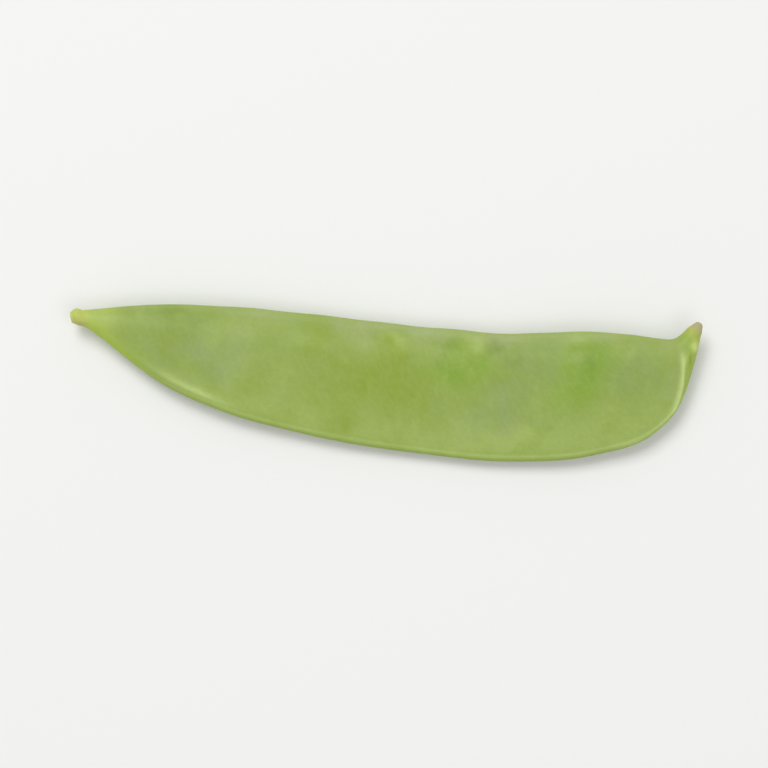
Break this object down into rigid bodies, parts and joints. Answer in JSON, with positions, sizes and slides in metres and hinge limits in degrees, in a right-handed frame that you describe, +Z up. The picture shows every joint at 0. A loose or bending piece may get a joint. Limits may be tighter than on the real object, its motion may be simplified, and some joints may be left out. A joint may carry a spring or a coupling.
{
  "type": "snow pea pod",
  "caption": "Flat, curved snow pea pod, as picked, with a grooved top suture, a ribbed lower suture, faint seed swellings, a stalk stub and an upturned beak.",
  "frame": {"origin": "under the middle of the pod's outline, on the surface that it lies on", "axes": "+X along the pod from the stalk stub to the beak, +Y across it from the ribbed lower suture to the grooved top suture, +Z up through the two valves"},
  "size_m": [0.0903, 0.021, 0.0056],
  "materials": {
    "pod_skin": "satin"
  },
  "bodies": {
    "root": {"pod": "pod_skin"}
  },
  "joints": []
}
